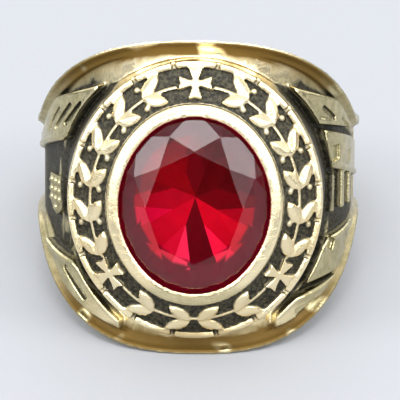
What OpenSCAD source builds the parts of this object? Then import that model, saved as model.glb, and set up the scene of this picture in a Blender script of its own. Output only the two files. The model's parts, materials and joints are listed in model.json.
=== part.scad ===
// Class ring: a cast band with flared shoulders, an oval head with a relief border, and a faceted stone in a bezel.
// Everything is drawn with the head up (+Z), the finger along Y and the ring's width along X.
// It is then laid on its lower flank, as such a ring rests on a table, with the stone facing -Y.

/* [Finger hole and shank] */
// Diameter of the finger hole
finger_d = 19.8; // [18.6:0.1:21]
// Metal at the back of the shank
back_wall = 2; // [1.6:0.1:2.6]
// Metal at each side of the finger hole
side_wall = 2.2; // [2:0.05:2.7]
// Metal between the finger hole and the rails beside the head
top_wall = 3.4; // [3:0.1:4]
// Squareness of the shoulders seen along the finger, 2 for round ones
shoulder_power = 2.55; // [2.2:0.05:2.7]
// Length along the finger at the back of the shank
back_len = 5.8; // [5.4:0.2:7.6]
// Length along the finger at the rails beside the head
top_len = 23.6; // [23.4:0.2:25.4]
// Slope of the flanks near the head, in degrees from the stone's axis
flare = 40; // [37:0.5:42]
// Slope of the flanks on the shank, in degrees
taper = 3; // [2:0.5:6]

/* [Rails and panels] */
// Flat top of each rail
rail_top = 0.32; // [0.25:0.01:0.45]
// Width of the hollow that runs along the inside of each rail
cove_w = 0.62; // [0.5:0.02:0.75]
// Depth of that hollow beside the head
cove_depth = 0.5; // [0.4:0.05:0.6]
// Depth of the sunk panels on the shoulders
panel_depth = 0.85; // [0.65:0.05:1]
// Where the sunk panels end, in degrees round from the stone
panel_end = 104; // [100:1:112]
// Space between the raised blocks and the rails
block_gap = 0.2; // [0.15:0.05:0.4]
// Slope cut along the top edges of the raised blocks
block_bevel = 0.14; // [0.1:0.02:0.22]
// How far the blocks stand above the rails beside the head
block_rise = 0.3; // [0.1:0.05:0.45]
// Width of the ridge that each block has beside the head
ridge_w = 0.36; // [0.26:0.02:0.46]
// Length of the longest groove in the blocks
groove_l = 3.2; // [2.6:0.1:3.6]

/* [Head] */
// Height of the bezel's top above the rails
head_rise = 2.7; // [2.4:0.1:3]
// Width of the bezel's smooth band
bezel_w = 0.93; // [0.8:0.01:1.1]
// Thickness of the bezel's lip at its inner edge
lip_edge = 0.25; // [0.2:0.05:0.35]
// Height of the bezel above the border around it
bezel_rise = 0.5; // [0.35:0.05:0.7]
// Width of the sloping border, seen from above
border_w = 2.42; // [2.2:0.02:2.6]
// Height that the border falls from the bezel to the rim
border_drop = 1.75; // [1.5:0.05:1.9]
// Width of the notched rim
rim_w = 0.48; // [0.4:0.02:0.6]
// Height of the rim above the border
rim_rise = 0.35; // [0.25:0.05:0.45]
// Notches cut through the rim
rim_notches = 20; // [16:2:24]
// Width of one notch
notch_w = 0.34; // [0.24:0.02:0.44]
// How much the head widens on each side, from its rim to its foot
head_draft = 0.2; // [0.15:0.01:0.4]
// Channel between the head and the raised blocks
channel_w = 0.5; // [0.4:0.05:0.8]

/* [Relief] */
// Height of the relief above the border
relief_h = 0.45; // [0.3:0.05:0.5]
// Leaf pairs on each side, from the middle cross to the lower one
side_sprigs = 6; // [5:1:7]
// Leaf pairs on each side below the lower crosses
low_sprigs = 2; // [1:1:3]
// Where the lower crosses stand, in degrees round from the middle one
cross_angle = 124; // [116:1:130]
// Length of a leaf
leaf_len = 2.1; // [1.7:0.1:2.4]
// Width of a leaf
leaf_w = 1; // [0.7:0.05:1.15]
// Angle between a leaf and the stem
leaf_splay = 33; // [26:1:38]
// Diameter of a berry
berry_d = 0.56; // [0.4:0.02:0.7]
// Width of the stem
stem_w = 0.24; // [0.18:0.02:0.32]
// Width over the arms of a cross
cross_w = 2.5; // [2.1:0.1:2.7]

/* [Stone] */
// Width of the stone across the ring
stone_w = 12; // [11.4:0.1:12.6]
// How far the stone is from round: the distance of its arcs' centres from its middle
arc_shift = 1.77; // [1.63:0.07:1.91]
// Part of the stone's edge that the bezel covers
lip = 0.45; // [0.35:0.05:0.6]
// Height of the crown, from the girdle to the table
crown_h = 1.7; // [1.4:0.1:2]
// Thickness of the girdle
girdle_h = 0.25; // [0.15:0.05:0.35]
// Size of the table as a share of the stone
table_share = 0.6; // [0.52:0.01:0.66]
// Metal left under the stone's point
floor_wall = 0.8; // [0.6:0.1:1.1]
// Space between the stone and its seat
seat_gap = 0.07; // [0.05:0.01:0.1]

/* [Hidden] */
$fn = 96;

gold = "#c9a35c";
ruby = "#a3061f";

bore_r = finger_d / 2;
half_w = bore_r + side_wall;
top_h = bore_r + top_wall;
back_r = bore_r + back_wall;
rail_w = rail_top + cove_w;
sink = relief_h;     // how deep raised work is rooted in the metal under it
past = bore_r / 10;  // how far a cutting shape reaches past the metal it cuts

// Half the length along the finger at height h: the head's flank and the shank's, blended where they meet
bend = top_len / 25;
function head_flank(h) = top_len / 2 - (top_h - h) * tan(flare);
function shank_flank(h) = back_len / 2 + (h + back_r) * tan(taper);
function half_len(h) = let (a = head_flank(h), b = shank_flank(h)) (a + b + sqrt((a - b) * (a - b) + bend * bend)) / 2;
bend_h = (shank_flank(0) - head_flank(0)) / (tan(flare) - tan(taper));

// The ring lies on the line from the back of its shank to the rail beside its head
lie = atan((half_len(top_h) - half_len(-back_r)) / (top_h + back_r));
lie_h = half_len(-back_r) * cos(lie) + back_r * sin(lie);

// Outline of the band seen along the finger, at an angle t from the stone's axis, grown outwards by off
function power_at(t) = abs(t) < 90 ? shoulder_power : 2;
function rise_at(t) = abs(t) < 90 ? top_h : back_r;
function across(t) = abs(sin(t)) / half_w;
function along(t) = abs(cos(t)) / rise_at(t);
function reach_at(t) = let (n = power_at(t)) pow(pow(across(t), n) + pow(along(t), n), -1 / n);
function normal_at(t) = let (
    n = power_at(t),
    x = pow(across(t), n - 1) / half_w * sign(sin(t)),
    z = pow(along(t), n - 1) / rise_at(t) * sign(cos(t))
) [x, z] / norm([x, z]);
function outline_at(t, off) = reach_at(t) * [sin(t), cos(t)] + off * normal_at(t);

// Half the length along the finger of what lies between the rails, at an angle t round the band
function between_rails(t) = half_len(outline_at(t, 0)[1]) - rail_w;

// 0 up to an angle, 1 from another one on, and a smooth rise between them
function ease(t, first, last) = let (c = min(max((abs(t) - first) / (last - first), 0), 1)) c * c * (3 - 2 * c);

// A point at an angle t round the band, a along the finger and off outside the outline
function on_band(t, a, off) = let (o = outline_at(t, off)) [o[0], a, o[1]];

// Triangles of a closed skin over rows of cols points, each end closed like the rungs of a ladder
function skin(rows, cols) = let (last = (rows - 1) * cols) [
    for (i = [0:rows - 2], j = [0:cols - 1])
        let (a = i * cols + j, b = i * cols + (j + 1) % cols)
        each [[a, b, b + cols], [a, b + cols, a + cols]],
    for (i = [0:cols / 2 - 2])
        each [[i + 1, i, cols - 1 - i], [cols - 2 - i, i + 1, cols - 1 - i]],
    for (i = [0:cols / 2 - 2])
        each [[last + i, last + i + 1, last + cols - 2 - i], [last + cols - 1 - i, last + i, last + cols - 2 - i]]
];

// Ovals of the head: each is four quarter arcs, all with the same four centres, so they run parallel.
// They are told apart by s, half the oval's width; half its length is s + spread.
spread = arc_shift * (2 - sqrt(2));
stone_l = stone_w + 2 * spread;
bezel_in = stone_w / 2 - lip;
bezel_out = bezel_in + bezel_w;
border_out = bezel_out + border_w;
rim_out = border_out + rim_w;
foot_out = rim_out + head_draft;
channel_out = foot_out + channel_w;
border_mid = (bezel_out + border_out) / 2;
slope = atan(border_drop / border_w);

// Heights of the head
bezel_h = top_h + head_rise;
border_in_h = bezel_h - bezel_rise;
border_out_h = border_in_h - border_drop;
border_mid_h = (border_in_h + border_out_h) / 2;
rim_h = border_out_h + rim_rise;
foot_h = top_h * pow(1 - pow(foot_out / half_w, shoulder_power), 1 / shoulder_power) - 2 * panel_depth;

// Heights of the stone. Its crown is steepest beside the corners of the star, where it nears the lip most.
star_share = (1 + table_share) / 2;
star_rise = (1 - star_share * cos(22.5)) / (1 - table_share);
crown_at_lip = crown_h * star_rise * lip / (stone_w / 2 * (1 - star_share));
crown_base_h = bezel_h - lip_edge - seat_gap - crown_at_lip;
girdle_base_h = crown_base_h - girdle_h;
culet_h = bore_r + floor_wall;
table_h = crown_base_h + crown_h;

// The bezel's domed top, from its outer edge to its inner one: shares of its width
bezel_dome = [
    // from the inner edge, below the top
    [1, 0.26],
    [0.9, 0.09],
    [0.62, 0],
    [0, 0.1]
];

// How far the ring then reaches from the finger hole's centre to its front, at the bezel, and to its back
edge = rim_w / 5; // chamfer of the rim
front_y = max([for (p = bezel_dome)
    (bezel_h - p[1] * bezel_w) * cos(lie) + (bezel_in + p[0] * bezel_w + spread) * sin(lie)]);
back_y = back_r * cos(lie) + half_len(-back_r) * sin(lie);

// The point of an oval that faces the angle a, from 0 at the top to 180 at the bottom
function end_radius(s) = s + spread - arc_shift;
function side_radius(s) = s + arc_shift;
function oval_point(a, s) = let (d = [sin(a), cos(a)])
    a < 45 ? [0, arc_shift] + end_radius(s) * d
    : a < 135 ? [-arc_shift, 0] + side_radius(s) * d
    : [0, -arc_shift] + end_radius(s) * d;

// The run along the oval s from its top to that point
function run_to(a, s) = let (side = min(max(a - 45, 0), 90))
    PI / 180 * (end_radius(s) * (a - side) + side_radius(s) * side);
// And the angle faced after a run
function facing_after(run, s) = let (first = run_to(45, s), last = run_to(135, s))
    run < first ? run / end_radius(s) * 180 / PI
    : run < last ? 45 + (run - first) / side_radius(s) * 180 / PI
    : 135 + (run - last) / end_radius(s) * 180 / PI;

module lay_down() {
    translate([0, (front_y - back_y) / 2, lie_h])
        rotate([90 - lie, 0, 0])
            children();
}

module both_sides() {
    children();
    mirror([1, 0, 0])
        children();
}

// Places its children on the band, with their Z along the outline's normal
module at_band(t, a, off = 0) {
    n = normal_at(t);
    translate(on_band(t, a, off))
        rotate([0, atan2(n[0], n[1]), 0])
            children();
}

// Places its children on the sloping border, with X along the oval, Y down the slope and Z out of it
module on_border(a, out = 0) {
    p = oval_point(a, border_mid);
    translate([p[0], p[1], border_mid_h])
        rotate([0, 0, -a])
            rotate([-slope, 0, 0])
                translate([0, out, 0])
                    children();
}

// Sweeps a 2D shape, drawn at [s, height] with s from -arc_shift or more, round the four arcs of the ovals
module oval_sweep() {
    for (q = [0:3]) {
        a = 90 * q;
        lengthwise = q == 1 || q == 3;
        translate(-arc_shift * (lengthwise ? -1 : 1) * [cos(a), sin(a)])
            rotate_extrude(start = a - 45, angle = 90)
                intersection() {
                    translate([lengthwise ? spread - arc_shift : arc_shift, 0])
                        children();
                    square([2 * half_w, 2 * bezel_h]);
                }
    }
}

// The plain band: its outline along the finger, cut to its flanks
module band_blank() {
    outline_step = 2.5;
    intersection() {
        rotate([90, 0, 0])
            linear_extrude(top_len + 2 * past, center = true)
                polygon([for (t = [-180:outline_step:179.9]) outline_at(t, 0)]);
        flanks();
    }
}

// Everything between the two flanks
module flanks() {
    bend_span = 5;
    heights = concat(
        [-back_r - past, -back_r],
        [for (h = [bend_h - bend_span:1:bend_h + bend_span]) h],
        [top_h]
    );
    side = [for (h = heights) [half_len(max(h, -back_r)), h]];
    cap = [half_len(top_h), bezel_h + past];
    outline = concat(side, [cap]);
    rotate([90, 0, 90])
        linear_extrude(2 * (half_w + past), center = true)
            polygon(concat(outline, [for (i = [len(outline) - 1:-1:0]) [-outline[i][0], outline[i][1]]]));
}

// What is sunk between the rails: a hollow beside the head that deepens into the panels on the shoulders
module sunk_panels() {
    step = 4;
    // all of the panels' depth on the shoulders, less beside the head and on the flanks of the finger hole
    function floor_at(t) = cove_depth + 0.03 + (panel_depth - cove_depth) * (ease(t, 18, 30) - ease(t, 62, 78));
    function half_row(t) = let (w = between_rails(t)) [
        [w + cove_w, past],
        [w + cove_w, 0],
        [w + 0.8 * cove_w, -0.5 * cove_depth],
        [w + 0.5 * cove_w, -0.86 * cove_depth],
        [w, -cove_depth],
        [w - 0.08, -floor_at(t)]
    ];
    function row(t) = let (half = half_row(t)) concat(
        [for (p = half) on_band(t, p[0], p[1])],
        [for (i = [len(half) - 1:-1:0]) on_band(t, -half[i][0], half[i][1])]
    );
    angles = [for (k = [0:2 * panel_end / step]) -panel_end + k * step];
    points = [for (t = angles) each row(t)];
    polyhedron(points, skin(len(angles), len(points) / len(angles)));
}

// The raised blocks of both shoulders. Sides are 1 for right and -1 for left, ends are 1 for the upper and -1 for
// the lower. A block runs from the first angle round the band to the last. Along the finger it lies between two
// lines, which are given where they pass 45 and 75 degrees, as shares of half the head's length.
blocks = [
    // side, end, first angle, last angle, inner line at 45, at 75, outer line at 45, at 75
    [1, 1, 31.3, 64.7, 0.413, 0.286, 0.596, 0.4],
    [1, 1, 44.2, 79.1, 0.143, -0.012, 0.38, 0.222],
    [1, -1, 36.6, 68.7, 0.309, 0.26, 0.555, 0.479],
    [1, -1, 25.7, 50.3, 0.584, 0.423, 2, 2],
    [-1, 1, 31.3, 81.7, 0.3, 0.147, 0.596, 0.4],
    [-1, -1, 23.7, 61.3, 0.443, 0.338, 2, 2]
];
function on_line(t, at_45, at_75) = half_len(top_h) * (at_45 + (at_75 - at_45) * (t - 45) / 30);

// Where the channel round the head crosses the angle t, along the finger
function channel_at(t) = let (x = abs(outline_at(t, 0)[0]), r = end_radius(channel_out), q = side_radius(channel_out))
    x < r * sin(45) ? arc_shift + sqrt(r * r - x * x)
    : x < channel_out ? sqrt(q * q - pow(x + arc_shift, 2))
    : -half_len(top_h);
function inner_edge(b, t) = max(channel_at(t), on_line(t, b[4], b[5]));
function outer_edge(b, t) = min(on_line(t, b[6], b[7]), between_rails(t) - block_gap);

// A raised block, with a ridge along its inner edge and its top edges bevelled
module curved_block(b) {
    step = 3;
    bevel_turn = block_bevel / half_w * 180 / PI;
    first = b[2] + bevel_turn;
    last = b[3] - bevel_turn;
    count = ceil((last - first) / step);
    angles = concat([b[2]], [for (k = [0:count]) first + (last - first) * k / count], [b[3]]);
    function row(t) = let (
        lo = inner_edge(b, t),
        hi = outer_edge(b, t),
        part = min(1, (hi - lo) / (ridge_w + 3 * block_bevel)),
        bevel = part * block_bevel,
        ridge = part * ridge_w,
        end_drop = t == b[2] || t == b[3] ? 0.7 * block_bevel : 0,
        lift = block_rise * (1 - 1.4 * ease(t, 34, 76)) - end_drop,
        root = -panel_depth - sink
    ) [
        on_band(t, lo, root),
        on_band(t, lo, lift - bevel),
        on_band(t, lo + bevel, lift),
        on_band(t, lo + ridge, lift),
        on_band(t, lo + ridge + bevel, lift - bevel),
        on_band(t, hi - bevel, lift - bevel),
        on_band(t, hi, lift - 2 * bevel),
        on_band(t, hi, root)
    ];
    polyhedron([for (t = angles) each row(t)], skin(len(angles), 8));
}

// What is sunk in the blocks: windows and grooves, with their lengths and widths as shares of the longest groove
sunk_marks = [
    // side, end, angle round the band, share of the way to the rail, length, width, turn
    [1, 1, 50.5, 0.37, 0.36, 0.36, 0],
    [1, 1, 62, 0.36, 0.4, 0.32, 0],
    [1, 1, 46, 0.75, 0.6, 0.12, -35],
    [1, 1, 58, 0.78, 0.6, 0.12, -35],
    [1, -1, 47.5, 0.56, 0.3, 0.26, 30],
    [1, -1, 60, 0.84, 0.4, 0.26, 30],
    [1, -1, 37.5, 0.96, 0.8, 0.18, -18],
    [1, -1, 48.5, 0.99, 0.36, 0.2, -18],
    [-1, 1, 41.5, 0.68, 0.85, 0.11, -45],
    [-1, 1, 47, 0.7, 1, 0.11, -45],
    [-1, 1, 53, 0.74, 0.9, 0.11, -45],
    [-1, -1, 40.5, 0.83, 1, 0.13, -42],
    [-1, -1, 52, 0.95, 0.8, 0.11, -42]
];

module raised_blocks() {
    for (b = blocks)
        scale([b[0], b[1], 1])
            difference() {
                curved_block(b);
                for (m = sunk_marks)
                    if (m[0] == b[0] && m[1] == b[1])
                        at_band(m[2], m[3] * between_rails(m[2]), block_rise / 2)
                            rotate([0, 0, m[6]])
                                cube([m[4] * groove_l, m[5] * groove_l, panel_depth], center = true);
            }
}

// A small shield with rows of beads, in the middle of the left shoulder
module shield() {
    w = 2.5;
    l = 3;
    bead = 0.52;
    at_band(-55, -1.1, -panel_depth) {
        translate([0, 0, -sink])
            linear_extrude(sink + 0.4)
                polygon([[-w / 2, l / 2], [w / 2, l / 2], [w / 2, -l / 6], [w / 4, -0.4 * l], [0, -l / 2],
                    [-w / 4, -0.4 * l], [-w / 2, -l / 6]]);
        for (row = [0:3], k = [-1:1])
            if (row < 3 || k == 0)
                translate([k * w * 0.29, l * (0.36 - row * 0.22), 0.4])
                    sphere(d = bead, $fn = 24);
    }
}

// Three upright bars, in the middle of the right shoulder
module bars() {
    for (t = [50, 58, 66])
        at_band(t, -0.5, -panel_depth)
            translate([0, 0, 0.05])
                cube([0.6, 2.8, 2 * sink + 0.2], center = true);
}

// The head without its relief: foot, rim, sloping border and bezel
module head_blank() {
    intersection() {
        oval_sweep()
            polygon([
                [-arc_shift, foot_h], [foot_out, foot_h], [rim_out, rim_h - edge], [rim_out - edge, rim_h],
                [border_out, rim_h], [border_out, border_out_h], [bezel_out, border_in_h],
                for (p = bezel_dome) [bezel_in + p[0] * bezel_w, bezel_h - p[1] * bezel_w],
                [-arc_shift, bezel_h - bezel_dome[3][1] * bezel_w]
            ]);
        flanks();
    }
}

// The seat: a tapered pocket for the stone's lower part, the girdle's groove and the opening that the lip leaves
module stone_seat() {
    side = stone_w / 2 + seat_gap;
    pit = 0.15 * stone_w;
    oval_sweep()
        polygon([
            [-arc_shift, culet_h - seat_gap], [pit, culet_h - seat_gap], [side, girdle_base_h - seat_gap],
            [side, crown_base_h], [bezel_in, bezel_h - lip_edge], [bezel_in, bezel_h + past],
            [-arc_shift, bezel_h + past]
        ]);
}

module rim_cuts() {
    mid = (border_out + rim_out) / 2;
    function facing(p) = atan2(sin(p) * pow(mid + spread, 2), cos(p) * pow(mid, 2));
    both_sides()
        for (k = [0:rim_notches / 2 - 1]) {
            a = facing((k + 0.5) * 360 / rim_notches);
            p = oval_point(a, mid);
            translate([p[0], p[1], border_out_h + past / 2])
                rotate([0, 0, -a])
                    cube([notch_w, rim_w + 0.3, past], center = true);
        }
}

// One leaf of the wreath, pointing along X from its middle, with a ridge along its back
module leaf() {
    half = leaf_len / 2;
    shape = [[-1, 0], [-0.5, 0.42], [0.05, 0.5], [0.6, 0.34], [1, 0], [0.6, -0.34], [0.05, -0.5], [-0.5, -0.42]];
    base = [for (p = shape) [p[0] * half, p[1] * leaf_w, -sink]];
    brow = [for (p = shape) [p[0] * half, p[1] * leaf_w, 0.62 * relief_h]];
    ridge = [[-0.65 * half, 0, relief_h], [0.65 * half, 0, relief_h]];
    n = len(shape);
    sides = [for (i = [0:n - 1]) [i, (i + 1) % n, (i + 1) % n + n, i + n]];
    top = [[8, 9, 16], [9, 10, 16], [10, 17, 16], [10, 11, 17], [11, 12, 17], [12, 13, 17], [13, 14, 17],
           [14, 16, 17], [14, 15, 16], [15, 8, 16]];
    polyhedron(concat(base, brow, ridge), concat([[7, 6, 5, 4, 3, 2, 1, 0]], sides, top));
}

// A pair of leaves that spring from the stem and point back along the run
module sprig(run) {
    back = leaf_len / 2 * cos(leaf_splay);
    out = leaf_len / 2 * sin(leaf_splay) + stem_w / 4;
    for (way = [-1, 1])
        on_border(facing_after(run - back, border_mid), way * out)
            rotate([0, 0, 180 - way * leaf_splay])
                leaf();
}

module berries(run) {
    for (way = [-1, 1])
        on_border(facing_after(run, border_mid), way * 0.36 * border_w)
            sphere(d = berry_d, $fn = 24);
}

// A cross with four flared arms
module cross() {
    arm = cross_w / 2;
    root = 0.13 * arm;
    tip = 0.42 * arm;
    quarter = [[root, root], [tip, arm], [0, 0.9 * arm], [-tip, arm]];
    translate([0, 0, -sink])
        linear_extrude(sink + relief_h)
            polygon([for (k = [0:3], p = quarter) [
                p[0] * cos(90 * k) - p[1] * sin(90 * k),
                p[0] * sin(90 * k) + p[1] * cos(90 * k)
            ]]);
}

// The wreath's stem, which stops short of each cross
module stem() {
    rise = 0.6 * relief_h;
    lift = rise / cos(slope);
    half = stem_w / 2 * cos(slope);
    difference() {
        oval_sweep()
            polygon([
                [border_mid - half, border_mid_h - sink], [border_mid + half, border_mid_h - sink],
                [border_mid + half, border_mid_h + lift - half * tan(slope)],
                [border_mid - half, border_mid_h + lift + half * tan(slope)]
            ]);
        both_sides()
            for (a = [0, cross_angle])
                on_border(a)
                    cylinder(h = 2 * past, d = cross_w + stem_w, center = true);
    }
}

module relief() {
    whole = run_to(180, border_mid);
    low = run_to(cross_angle, border_mid);
    free = cross_w / 2 + stem_w;
    side_pitch = (low - 2 * free) / side_sprigs;
    low_pitch = (whole - low - free - stem_w) / low_sprigs;
    stem();
    on_border(0)
        cross();
    both_sides() {
        on_border(cross_angle)
            cross();
        for (k = [1:side_sprigs]) {
            sprig(free + k * side_pitch);
            if (k < side_sprigs)
                berries(free + k * side_pitch);
        }
        for (k = [1:low_sprigs])
            sprig(low + free + k * low_pitch);
    }
}

module ring_body() {
    color(gold)
        lay_down() {
            difference() {
                union() {
                    difference() {
                        band_blank();
                        sunk_panels();
                    }
                    head_blank();
                    raised_blocks();
                    shield();
                    bars();
                    relief();
                }
                rotate([90, 0, 0])
                    cylinder(h = top_len * 2, r = bore_r, center = true);
                stone_seat();
                rim_cuts();
            }
        }
}

// The stone: an octagonal table, 8 stars, 8 kites and 16 triangles on the crown, and 24 facets under the girdle
module stone() {
    low_share = 0.3;
    low_drop = 1 - low_share * cos(22.5);
    depth = girdle_base_h - culet_h;
    function ring(n, shift, share, h) = [for (k = [0:n - 1]) let (a = shift + k * 360 / n)
        [share * stone_w / 2 * sin(a), share * stone_l / 2 * cos(a), h]];
    points = concat(
        ring(8, 0, table_share, table_h),
        ring(8, 22.5, star_share, crown_base_h + star_rise * crown_h),
        ring(16, 0, 1, crown_base_h),
        ring(16, 0, 1, girdle_base_h),
        ring(8, 22.5, low_share, girdle_base_h - low_drop * depth),
        [[0, 0, culet_h]]
    );
    table = 0;
    star = 8;
    upper = 16;
    lower = 32;
    low = 48;
    culet = 56;
    faces = [
        [for (k = [0:7]) table + k],
        for (k = [0:7]) let (n = (k + 1) % 8, p = (k + 7) % 8) each [
            [table + k, star + k, table + n],
            [table + k, star + p, upper + 2 * k],
            [table + k, upper + 2 * k, star + k],
            [star + k, upper + 2 * k, upper + 2 * k + 1],
            [star + k, upper + 2 * k + 1, upper + 2 * n],
            [low + k, lower + 2 * k + 1, lower + 2 * k],
            [low + k, lower + 2 * n, lower + 2 * k + 1],
            [culet, low + k, lower + 2 * k],
            [culet, lower + 2 * k, low + p]
        ],
        for (k = [0:15]) [upper + k, lower + k, lower + (k + 1) % 16, upper + (k + 1) % 16]
    ];
    color(ruby)
        lay_down()
            polyhedron(points, faces);
}

ring_body();
stone();
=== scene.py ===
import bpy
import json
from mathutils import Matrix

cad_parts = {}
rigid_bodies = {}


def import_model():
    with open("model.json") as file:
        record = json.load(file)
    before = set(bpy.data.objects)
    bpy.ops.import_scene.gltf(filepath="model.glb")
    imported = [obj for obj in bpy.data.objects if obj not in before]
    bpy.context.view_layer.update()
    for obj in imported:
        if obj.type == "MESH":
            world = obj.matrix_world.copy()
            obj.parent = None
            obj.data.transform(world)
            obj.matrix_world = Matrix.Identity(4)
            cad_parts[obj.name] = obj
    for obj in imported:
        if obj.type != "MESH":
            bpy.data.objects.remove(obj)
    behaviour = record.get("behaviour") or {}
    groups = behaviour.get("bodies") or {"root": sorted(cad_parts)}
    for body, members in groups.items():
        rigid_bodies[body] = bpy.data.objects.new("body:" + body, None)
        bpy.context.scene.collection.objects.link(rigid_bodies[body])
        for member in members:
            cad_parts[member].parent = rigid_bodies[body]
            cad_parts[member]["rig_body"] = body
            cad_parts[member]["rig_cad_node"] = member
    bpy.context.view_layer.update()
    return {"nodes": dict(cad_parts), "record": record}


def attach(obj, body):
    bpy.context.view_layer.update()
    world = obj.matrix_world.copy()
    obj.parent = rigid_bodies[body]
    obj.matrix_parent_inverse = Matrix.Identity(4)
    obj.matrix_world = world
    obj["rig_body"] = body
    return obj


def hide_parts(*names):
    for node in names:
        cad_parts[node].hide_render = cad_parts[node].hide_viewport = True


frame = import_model()

import json
import math
import bpy
from mathutils import Vector

# Camera
# A long lens looks at the ring from straight in front, 12 degrees above the stone's own axis. That is how
# the photograph faces the head.
view_height = math.radians(31.52)
view_side = math.radians(1.14)
view_distance = 0.4498
look_at = Vector((0.000280, -0.006016, 0.008633))
pixels_per_metre = 13475.0
picture_width = 400
sensor_width = 36

to_camera = Vector((math.sin(view_side) * math.cos(view_height),
                    -math.cos(view_side) * math.cos(view_height),
                    math.sin(view_height)))
camera_data = bpy.data.cameras.new("camera")
camera_data.sensor_width = sensor_width
camera_data.lens = pixels_per_metre * view_distance * sensor_width / picture_width
camera_data.clip_start = 0.01
camera_data.clip_end = 20
camera = bpy.data.objects.new("camera", camera_data)
bpy.context.scene.collection.objects.link(camera)
camera.location = look_at + view_distance * to_camera
camera.rotation_euler = (-to_camera).to_track_quat("-Z", "Y").to_euler()
bpy.context.scene.camera = camera

# Ring body
# One casting in 10 karat yellow gold: shank, shoulders, rails and head. It is tumbled, so its edges are soft.
# Then it is dipped in a black antiquing bath and buffed, so the black stays only where the wheel can't reach.
casting_grain = 0.00009
casting_triangles = 190000


def alone(piece):
    bpy.ops.object.select_all(action="DESELECT")
    piece.select_set(True)
    bpy.context.view_layer.objects.active = piece


def finish_with(piece, name, kind, **settings):
    modifier = piece.modifiers.new(name, kind)
    for key, value in settings.items():
        setattr(modifier, key, value)
    alone(piece)
    bpy.ops.object.modifier_apply(modifier=name)


def copy_of_node(node_name, name):
    alone(frame["nodes"][node_name])
    bpy.ops.object.duplicate()
    piece = bpy.context.active_object
    piece.name = piece.data.name = name
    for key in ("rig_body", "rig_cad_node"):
        if key in piece:
            del piece[key]
    piece.parent = None
    bpy.ops.object.mode_set(mode="EDIT")
    bpy.ops.mesh.select_all(action="SELECT")
    bpy.ops.mesh.remove_doubles(threshold=1e-6)
    bpy.ops.mesh.normals_make_consistent(inside=False)
    bpy.ops.object.mode_set(mode="OBJECT")
    return piece


casting = copy_of_node("ring_body", "gold_casting")
finish_with(casting, "cast", "REMESH", mode="VOXEL", voxel_size=casting_grain, use_smooth_shade=True)
finish_with(casting, "tumbled", "SMOOTH", factor=0.5, iterations=2)
finish_with(casting, "light", "DECIMATE", ratio=casting_triangles / (2 * len(casting.data.polygons)))
casting.data.shade_smooth()
casting.data.validate()

# Hairline scratches in three directions and small dents, for the gold and for the stone
hair_scale, dent_scale = 700, 900
hairs_run = (
    # turn, stretch
    ((0.3, 0.9, 0.4), (1, 14, 1)),
    ((1.1, 0.2, 2.0), (12, 1, 1)),
    ((0.7, 1.4, 1.0), (1, 1, 13)),
)
fine_wear = bpy.data.node_groups.new("fine_wear", "ShaderNodeTree")
for name, flow in (("Scratches", "INPUT"), ("Dents", "INPUT"), ("Height", "OUTPUT"), ("Haze", "OUTPUT")):
    fine_wear.interface.new_socket(name, in_out=flow, socket_type="NodeSocketFloat")


def add_node(tree, kind, **settings):
    new = tree.nodes.new(kind)
    for key, value in settings.items():
        setattr(new, key, value)
    return new


def connect(tree, value, socket):
    if isinstance(value, bpy.types.NodeSocket):
        tree.links.new(value, socket)
    elif isinstance(value, tuple):
        socket.default_value = (*value, 1)
    else:
        socket.default_value = value


def mix(tree, blend, factor, first, second):
    new = add_node(tree, "ShaderNodeMix", data_type="RGBA", blend_type=blend, clamp_factor=True)
    connect(tree, factor, new.inputs["Factor"])
    connect(tree, first, new.inputs["A"])
    connect(tree, second, new.inputs["B"])
    return new.outputs["Result"]


def math_node(tree, operation, first, second=0.0, clamp=False):
    new = add_node(tree, "ShaderNodeMath", operation=operation, use_clamp=clamp)
    connect(tree, first, new.inputs[0])
    connect(tree, second, new.inputs[1])
    return new.outputs[0]


def times(tree, first, second):
    return math_node(tree, "MULTIPLY", first, second)


def spread(tree, value, low, high, to_low=0.0, to_high=1.0):
    new = add_node(tree, "ShaderNodeMapRange", interpolation_type="SMOOTHSTEP")
    connect(tree, value, new.inputs["Value"])
    for socket, number in (("From Min", low), ("From Max", high), ("To Min", to_low), ("To Max", to_high)):
        new.inputs[socket].default_value = number
    return new.outputs["Result"]


def noise(tree, where, scale, detail=4, roughness=0.5):
    new = add_node(tree, "ShaderNodeTexNoise")
    connect(tree, where, new.inputs["Vector"])
    new.inputs["Scale"].default_value = scale
    new.inputs["Detail"].default_value = detail
    new.inputs["Roughness"].default_value = roughness
    return new.outputs["Fac"]


def stretched(tree, where, turn, stretch):
    new = add_node(tree, "ShaderNodeMapping")
    connect(tree, where, new.inputs["Vector"])
    new.inputs["Rotation"].default_value = turn
    new.inputs["Scale"].default_value = stretch
    return new.outputs["Vector"]


def on_the_piece(tree):
    return add_node(tree, "ShaderNodeTexCoord").outputs["Object"]


def from_mesh(tree, name):
    return add_node(tree, "ShaderNodeAttribute", attribute_name=name).outputs["Fac"]


group_in = add_node(fine_wear, "NodeGroupInput")
group_out = add_node(fine_wear, "NodeGroupOutput")
where = on_the_piece(fine_wear)
hairs = None
for turn, stretch in hairs_run:
    lines = noise(fine_wear, stretched(fine_wear, where, turn, stretch), hair_scale, 2)
    lines = spread(fine_wear, lines, 0.60, 0.72)
    hairs = lines if hairs is None else math_node(fine_wear, "MAXIMUM", hairs, lines)
dents = spread(fine_wear, noise(fine_wear, where, dent_scale, 3), 0.35, 0.7)
height = math_node(fine_wear, "SUBTRACT",
                   times(fine_wear, dents, group_in.outputs["Dents"]),
                   times(fine_wear, hairs, group_in.outputs["Scratches"]))
connect(fine_wear, height, group_out.inputs["Height"])
connect(fine_wear, hairs, group_out.inputs["Haze"])


def bump_from(tree, surface, strength, distance):
    bump = add_node(tree, "ShaderNodeBump")
    bump.inputs["Strength"].default_value = strength
    bump.inputs["Distance"].default_value = distance
    connect(tree, surface, bump.inputs["Height"])
    return bump.outputs["Normal"]


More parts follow.
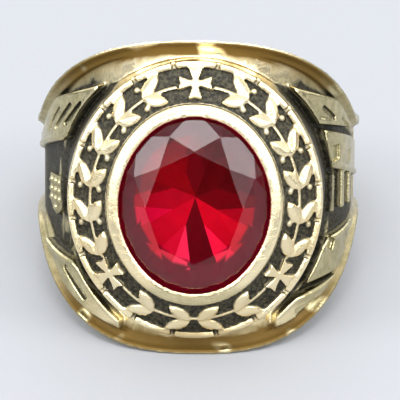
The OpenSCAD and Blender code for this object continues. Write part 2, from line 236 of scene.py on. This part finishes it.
bright_gold, deep_gold = (0.90, 0.78, 0.50), (0.84, 0.69, 0.40)
# Darker golds: dim for painted shade, brown for painted reflection in the rails' coves and shade on the ledge
dim_shade_gold, brown_shade_gold = (0.40, 0.36, 0.19), (0.155, 0.092, 0.020)
bath_black, bath_brown = (0.006, 0.0055, 0.0035), (0.040, 0.036, 0.020)
corner_reach = 0.0006

gold = bpy.data.materials.new("antiqued_gold")
gold.use_nodes = True
tree = gold.node_tree
shader = tree.nodes["Principled BSDF"]
where = on_the_piece(tree)
wear = add_node(tree, "ShaderNodeGroup", node_tree=fine_wear)
wear.inputs["Scratches"].default_value = 0.5
wear.inputs["Dents"].default_value = 0.6
black = from_mesh(tree, "antique")
cove_and_ledge_shade = from_mesh(tree, "painted_cove_and_ledge_shade")
side_and_lower_shade = from_mesh(tree, "painted_side_and_lower_shade")

# Black stays in the hollows that the mesh marks, and in tight corners unless the mesh marks less than 0 there
corner = add_node(tree, "ShaderNodeAmbientOcclusion", samples=8, only_local=True)
corner.inputs["Distance"].default_value = corner_reach
shelter = spread(tree, corner.outputs["AO"], 0.78, 0.45)
shelter = times(tree, shelter, math_node(tree, "ADD", black, 1.0, clamp=True))
patch = spread(tree, noise(tree, where, 4200, 2), 0.3, 0.6, 0.95, 1.0)
antique = math_node(tree, "MULTIPLY", math_node(tree, "MAXIMUM", black, shelter), patch, clamp=True)

# The tone runs from bright gold through the golds of painted shade and reflection to what the bath left
clouds = spread(tree, noise(tree, where, 260, 3), 0.35, 0.7)
tone = mix(tree, "MIX", clouds, bright_gold, deep_gold)
# Painted shade on the shoulders, below the head and on the bezel's lower lip, in uneven patches
shade_patches = spread(tree, noise(tree, where, 1300, 4, 0.65), 0.3, 0.7, 0.55, 1.0)
tone = mix(tree, "MIX", times(tree, side_and_lower_shade, shade_patches), tone, dim_shade_gold)
# Painted reflection in the rails' coves and painted shade on the lower ledge, broken by spots of plain gold
cove_and_ledge_shade = times(tree, cove_and_ledge_shade, spread(tree, noise(tree, where, 330, 1), 0.66, 0.56))
tone = mix(tree, "MIX", cove_and_ledge_shade, tone, brown_shade_gold)
grain = noise(tree, where, 4600, 3, 0.6)
bath = mix(tree, "MIX", spread(tree, grain, 0.35, 0.7), bath_black, bath_brown)
connect(tree, mix(tree, "MIX", antique, tone, bath), shader.inputs["Base Color"])

# Less metal and more roughness where the cove reflection and ledge shade are painted
metal_share = math_node(tree, "SUBTRACT", 1.0, times(tree, cove_and_ledge_shade, 0.45))
connect(tree, times(tree, spread(tree, antique, 0.1, 0.8, 1.0, 0.1), metal_share), shader.inputs["Metallic"])
buffed = spread(tree, noise(tree, where, 500, 4), 0.3, 0.7, 0.17, 0.27)
matt = times(tree, math_node(tree, "MAXIMUM", antique, cove_and_ledge_shade), 0.35)
connect(tree, math_node(tree, "ADD", buffed, matt), shader.inputs["Roughness"])
shader.inputs["Specular IOR Level"].default_value = 0.25

pitted = times(tree, times(tree, grain, antique), 1.6)
swell = times(tree, times(tree, noise(tree, where, 520, 2), cove_and_ledge_shade), 4.0)
surface = math_node(tree, "ADD", math_node(tree, "ADD", wear.outputs["Height"], pitted), swell)
connect(tree, bump_from(tree, surface, 0.3, 0.00003), shader.inputs["Normal"])
casting.data.materials.clear()
casting.data.materials.append(gold)

# The casting's own measures in millimetres. A place on it is given by u across the finger hole, a along it
# and h towards the stone, and in the head by s, half the width of the oval that runs through it.
finger_hole = frame["record"]["mounts"][0]
finger_centre = Vector(finger_hole["pos_m"])
finger_axis = Vector(finger_hole["axis"])
head_axis = Vector((0, -finger_axis.z, finger_axis.y))
bore_r = finger_hole["dims"]["r_mm"]
half_w, top_h, back_r, squareness = 12.1, 13.3, 11.9, 2.55
bezel_in, bezel_out, border_out, rim_out, channel_out = 5.55, 6.48, 8.9, 9.38, 10.08
border_in_h, border_drop, border_w, rim_h = 15.5, 1.75, 2.42, 14.1
border_foot_h, head_foot_h = 12.4, 4
arc_shift, oval_spread = 1.77, 1.03684
top_len, back_len, flare, taper, bend = 23.6, 5.8, math.radians(40), math.radians(3), 0.944
rail_w = 0.94


# 0 at none and before it, 1 at full and past it, eased between them. A pair below is such a none and full.
def step(value, none, full):
    share = min(max((value - none) / (full - none), 0), 1)
    return share * share * (3 - 2 * share)


def oval_half_width(u, a):
    x, y = abs(u), abs(a)
    if y - arc_shift > x:
        return math.hypot(x, y - arc_shift) - (oval_spread - arc_shift)
    return math.hypot(x + arc_shift, y) - arc_shift


def half_length(h):
    head = top_len / 2 - (top_h - h) * math.tan(flare)
    shank = back_len / 2 + (h + back_r) * math.tan(taper)
    return (head + shank + math.hypot(head - shank, bend)) / 2


def ring_place(point):
    millimetres = (point - finger_centre) * 1000
    return millimetres.x, millimetres.dot(finger_axis), millimetres.dot(head_axis)


def turn_round_band(u, h):
    return math.degrees(math.atan2(abs(u), h))


def depth_in_band(u, h):
    if h > 0:
        reach = (abs(u / half_w) ** squareness + abs(h / top_h) ** squareness) ** (1 / squareness)
    else:
        reach = math.hypot(u / half_w, h / back_r)
    return (1 - reach) * math.hypot(u, h) / max(reach, 0.1)


# How black a place is: 1 in the hollows, 0 where the wheel reaches, below 0 where corners stay bright too
ledge_turn, panels_turn = (36, 22), (100, 74)
finger_hole_skin, seat_skin, bezel_skin, seat_depth = 0.3, 0.2, 0.05, 0.5
worn_relief = (0.32, 0.1)
channel_margin, ledge_margin, channel_fade = 0.15, 0.75, 0.2
channel_top, channel_black = rim_h - 0.25, rim_h - 1.1
panel_depths, rail_margin, rail_fade = (0.30, 0.62), 0.15, 0.3
corners_kept_bright = 0.9


def blackness(point):
    u, a, h = ring_place(point)
    s = oval_half_width(u, a)
    in_finger_hole = math.hypot(u, h) < bore_r + finger_hole_skin
    in_stone_seat = s < bezel_in + seat_skin and h > bore_r + seat_depth
    if in_finger_hole:
        return 0.0
    if in_stone_seat:
        return -1.0
    if h > border_foot_h and s < border_out:
        if s < bezel_out + bezel_skin:
            return 0.0
        border_slope = border_drop / border_w
        rise = (h - border_in_h + (s - bezel_out) * border_slope) * math.cos(math.atan(border_slope))
        return step(rise, *worn_relief)
    turn = turn_round_band(u, h)
    ledge = step(turn, *ledge_turn)
    reach = channel_out + channel_margin - ledge_margin * ledge
    if s < reach and h > head_foot_h:
        channel = step(h, channel_top, channel_black) * step(s, reach, reach - channel_fade)
        return channel - corners_kept_bright * ledge * step(s, reach - channel_fade, reach)
    between_rails = step(half_length(h) - rail_w + rail_margin, abs(a), abs(a) + rail_fade)
    sunk = step(depth_in_band(u, h), *panel_depths) * between_rails
    return sunk * (1 - ledge) * step(turn, *panels_turn) - corners_kept_bright * ledge


# Painted reflection of gold in gold along each rail's cove, and painted shade on the lower ledge
cove_shade_turn, lower_ledge_turn = (62, 40), (45, 30)
from_edge, from_rail, cove_shade_depths = (0.1, 0.24), (rail_w - 0.05, rail_w - 0.2), (1.2, 0.7)
shank_cove_shade, lower_ledge_shade = 0.25, 0.6


def cove_and_ledge_shading(point):
    u, a, h = ring_place(point)
    turn = turn_round_band(u, h)
    into = half_length(h) - abs(a)
    hollow = step(into, *from_edge) * step(into, *from_rail) * step(depth_in_band(u, h), *cove_shade_depths)
    along_rail = hollow * (shank_cove_shade + (1 - shank_cove_shade) * step(turn, *cove_shade_turn))
    below_rim = step(a, -rim_out - 0.1, -rim_out - 0.4)
    return max(along_rail, lower_ledge_shade * below_rim * step(turn, *lower_ledge_turn))


# Painted shade, dim and dull, on the shoulders, on all that is below the head, and on the bezel's lower lip
shoulder_turn, lip_from, head_fade = (22, 40), (-5.6, -6.6), 0.4
below_head_shade, lower_lip_shade = 0.85, 0.7


def side_and_lower_shading(point):
    u, a, h = ring_place(point)
    s = oval_half_width(u, a)
    below_head = below_head_shade * step(a, -rim_out, -rim_out - 0.5)
    shoulders = step(turn_round_band(u, h), *shoulder_turn)
    lower_lip = lower_lip_shade * step(a, *lip_from) * step(s, bezel_out + bezel_skin, bezel_out - 0.1)
    return max(max(shoulders, below_head) * step(s, rim_out, rim_out + head_fade), lower_lip)


# The wheel has rounded the bezel's top so that it falls outwards from the stone
bezel_w = bezel_out - bezel_in
cast_dome = (
    # share of the bezel's width, drop as a share of it
    (0, 0.1),
    (0.62, 0),
    (0.9, 0.09),
    (1, 0.26),
)
worn_dome = (
    (0, 0.05),
    (0.14, 0),
    (0.86, 0.13),
    (1, 0.26),
)


def drop_at(dome, share):
    for (low, start), (high, end) in zip(dome, dome[1:]):
        if share <= high:
            return start + (end - start) * (share - low) / (high - low)
    return dome[-1][1]


for v in casting.data.vertices:
    u, a, h = ring_place(v.co)
    share = (oval_half_width(u, a) - bezel_in) / bezel_w
    if h > border_in_h and 0 < share < 1:
        rise = (drop_at(cast_dome, share) - drop_at(worn_dome, share)) * bezel_w
        v.co += head_axis * rise / 1000

# Per vertex: the bath's black, the painted cove reflection and ledge shade, and the painted side shade
for name, rule in (("antique", blackness), ("painted_cove_and_ledge_shade", cove_and_ledge_shading), ("painted_side_and_lower_shade", side_and_lower_shading)):
    layer = casting.data.attributes.new(name, "FLOAT", "POINT")
    layer.data.foreach_set("value", [rule(v.co) for v in casting.data.vertices])
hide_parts("ring_body")
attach(casting, "root")

# Stone
# An oval synthetic ruby, cut with a table, stars, kites and a faceted underside. The underside's facets are
# painted with the light and reflections that the stone sends back, with painted shade near the girdle. The
# stone sits in a closed seat, and the bezel's lip is burnished over its edge.
worn_edge = 0.000018
flat_within = math.radians(0.5)
edge_from = math.radians(2)
stone_w, stone_l = 12, 14.2

gem = copy_of_node("stone", "ruby")
bpy.ops.object.mode_set(mode="EDIT")
bpy.ops.mesh.select_all(action="SELECT")
bpy.ops.mesh.dissolve_limited(angle_limit=flat_within)
bpy.ops.object.mode_set(mode="OBJECT")
finish_with(gem, "worn_edges", "BEVEL", width=worn_edge, segments=1, limit_method="ANGLE",
            angle_limit=edge_from)
gem.data.shade_flat()

ruby = bpy.data.materials.new("ruby")
ruby.use_nodes = True
tree = ruby.node_tree
shader = tree.nodes["Principled BSDF"]
shader.inputs["Base Color"].default_value = (1.0, 0.022, 0.085, 1)
shader.inputs["Transmission Weight"].default_value = 1
shader.inputs["IOR"].default_value = 1.46
wear = add_node(tree, "ShaderNodeGroup", node_tree=fine_wear)
wear.inputs["Scratches"].default_value = 0.3
wear.inputs["Dents"].default_value = 0.2
connect(tree, spread(tree, wear.outputs["Haze"], 0, 1, 0.02, 0.1), shader.inputs["Roughness"])
connect(tree, bump_from(tree, wear.outputs["Height"], 0.08, 0.00001), shader.inputs["Normal"])
gem.data.materials.clear()
gem.data.materials.append(ruby)

# Painted light on the underside: facet tones for the light the stone sends back, painted shade near the girdle
girdle_shade_tone = (0.13, 0.06, 0.09)
underside_light = bpy.data.materials.new("painted_underside_light")
underside_light.use_nodes = True
tree = underside_light.node_tree
shader = tree.nodes["Principled BSDF"]
facet_light_paint = add_node(tree, "ShaderNodeVertexColor", layer_name="facet_light_paint").outputs["Color"]
facet_light_paint = mix(tree, "MIX", spread(tree, from_mesh(tree, "outwards"), 0.61, 0.66), facet_light_paint, girdle_shade_tone)
mottled = spread(tree, noise(tree, on_the_piece(tree), 700, 4, 0.6), 0.3, 0.7, 0.86, 1.0)
connect(tree, mix(tree, "MULTIPLY", 1.0, facet_light_paint, mottled), shader.inputs["Base Color"])
shader.inputs["Roughness"].default_value = 0.8
gem.data.materials.append(underside_light)

# The facets under the stone, each with its azimuth and its painted light, the tone the stone sends back
# through it. The mains meet at the point, and the halves lie between them and the girdle.
mains = (
    (0, (0.18, 0.03, 0.04)),
    (45, (0.11, 0.01, 0.01)),
    (90, (0.16, 0.02, 0.03)),
    (135, (0.62, 0.04, 0.14)),
    (180, (0.10, 0.02, 0.03)),
    (225, (0.58, 0.04, 0.16)),
    (270, (0.48, 0.04, 0.14)),
    (315, (0.32, 0.03, 0.04)),
)
halves = (
    (11, (0.13, 0.02, 0.02)),
    (34, (0.10, 0.01, 0.01)),
    (56, (0.09, 0.01, 0.01)),
    (79, (0.10, 0.02, 0.02)),
    (101, (0.46, 0.04, 0.12)),
    (124, (0.66, 0.06, 0.16)),
    (146, (1.0, 0.35, 0.60)),
    (169, (0.09, 0.02, 0.03)),
    (191, (1.0, 1.0, 1.0)),
    (214, (0.70, 0.12, 0.30)),
    (236, (0.58, 0.05, 0.18)),
    (259, (0.76, 0.06, 0.42)),
    (281, (0.24, 0.03, 0.04)),
    (304, (0.30, 0.03, 0.04)),
    (326, (0.30, 0.03, 0.04)),
    (349, (0.28, 0.03, 0.04)),
)
faces_down = -0.2
near_point = 0.1


def azimuth(point):
    u, a, h = ring_place(point)
    return math.degrees(math.atan2(u / stone_w, a / stone_l)) % 360


def share_outwards(point):
    u, a, h = ring_place(point)
    return 2 * math.hypot(u / stone_w, a / stone_l)


def between(first, second):
    return abs((first - second + 180) % 360 - 180)


outwards = [share_outwards(v.co) for v in gem.data.vertices]
gem.data.attributes.new("outwards", "FLOAT", "POINT").data.foreach_set("value", outwards)
# Each underside facet is painted with the light of the nearest listed facet of its family
layer = gem.data.color_attributes.new("facet_light_paint", "FLOAT_COLOR", "CORNER")
for face in gem.data.polygons:
    if face.normal.dot(head_axis) > faces_down:
        continue
    face.material_index = 1
    family = mains if min(outwards[v] for v in face.vertices) < near_point else halves
    towards = azimuth(face.center)
    colour = min(family, key=lambda facet: between(towards, facet[0]))[1]
    for corner in face.loop_indices:
        layer.data[corner].color = (*colour, 1)
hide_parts("stone")
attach(gem, "root")

# Studio
# A pale sheet lies under the ring. A large soft light hangs above it, a smaller one stands on each side, and
# the walls of a light tent are bright all round.
sheet_colour = (0.322, 0.330, 0.350, 1)
bpy.ops.object.select_all(action="DESELECT")
bpy.ops.mesh.primitive_plane_add(size=3, location=(0, 0, 0))
floor = bpy.context.active_object
floor.name = "floor"
sheet = bpy.data.materials.new("pale_sheet")
sheet.use_nodes = True
sheet.node_tree.nodes["Principled BSDF"].inputs["Base Color"].default_value = sheet_colour
sheet.node_tree.nodes["Principled BSDF"].inputs["Roughness"].default_value = 0.55
floor.data.materials.append(sheet)

ring_middle = Vector((0, 0, 0.01))


def soft_light(name, place, size, power):
    data = bpy.data.lights.new(name, "AREA")
    data.shape = "RECTANGLE"
    data.size, data.size_y = size
    data.energy = power
    lamp = bpy.data.objects.new(name, data)
    bpy.context.scene.collection.objects.link(lamp)
    lamp.location = place
    lamp.rotation_euler = (Vector(place) - ring_middle).to_track_quat("Z", "Y").to_euler()


soft_light("top_light", (0, -0.135, 0.36), (0.24, 0.17), 1.03)
soft_light("left_light", (-0.27, -0.15, 0.26), (0.17, 0.17), 0.66)
soft_light("right_light", (0.27, -0.15, 0.26), (0.17, 0.17), 0.62)

# The tent is darkest near the ground, brightest above it, and dimmer overhead and to the sides. The dark patch
# is the opening for the lens, which the stone's table mirrors.
tent_foot, tent_wall = 0.42, 2.6
overhead_share, side_share, opening_share = 0.48, 0.5, 0.03
opening_direction = (-0.017, -0.9915, 0.1292)
tent_colour = (0.95, 0.97, 1.0, 1)

world = bpy.data.worlds.new("tent")
bpy.context.scene.world = world
world.use_nodes = True
tree = world.node_tree
direction = add_node(tree, "ShaderNodeTexCoord").outputs["Generated"]
parts = add_node(tree, "ShaderNodeSeparateXYZ")
connect(tree, direction, parts.inputs[0])
glow = spread(tree, parts.outputs["Z"], 0.10, 0.17, tent_foot, tent_wall)
glow = times(tree, glow, spread(tree, parts.outputs["Z"], 0.40, 0.62, 1.0, overhead_share))
sideways = math_node(tree, "ABSOLUTE", parts.outputs["X"])
glow = times(tree, glow, spread(tree, sideways, 0.45, 0.95, 1.0, side_share))
opening = add_node(tree, "ShaderNodeVectorMath", operation="DOT_PRODUCT")
connect(tree, direction, opening.inputs[0])
opening.inputs[1].default_value = opening_direction
glow = times(tree, glow, spread(tree, opening.outputs["Value"], 0.9970, 0.9990, 1.0, opening_share))
connect(tree, glow, tree.nodes["Background"].inputs["Strength"])
tree.nodes["Background"].inputs["Color"].default_value = tent_colour

bpy.context.scene.view_settings.view_transform = "Standard"
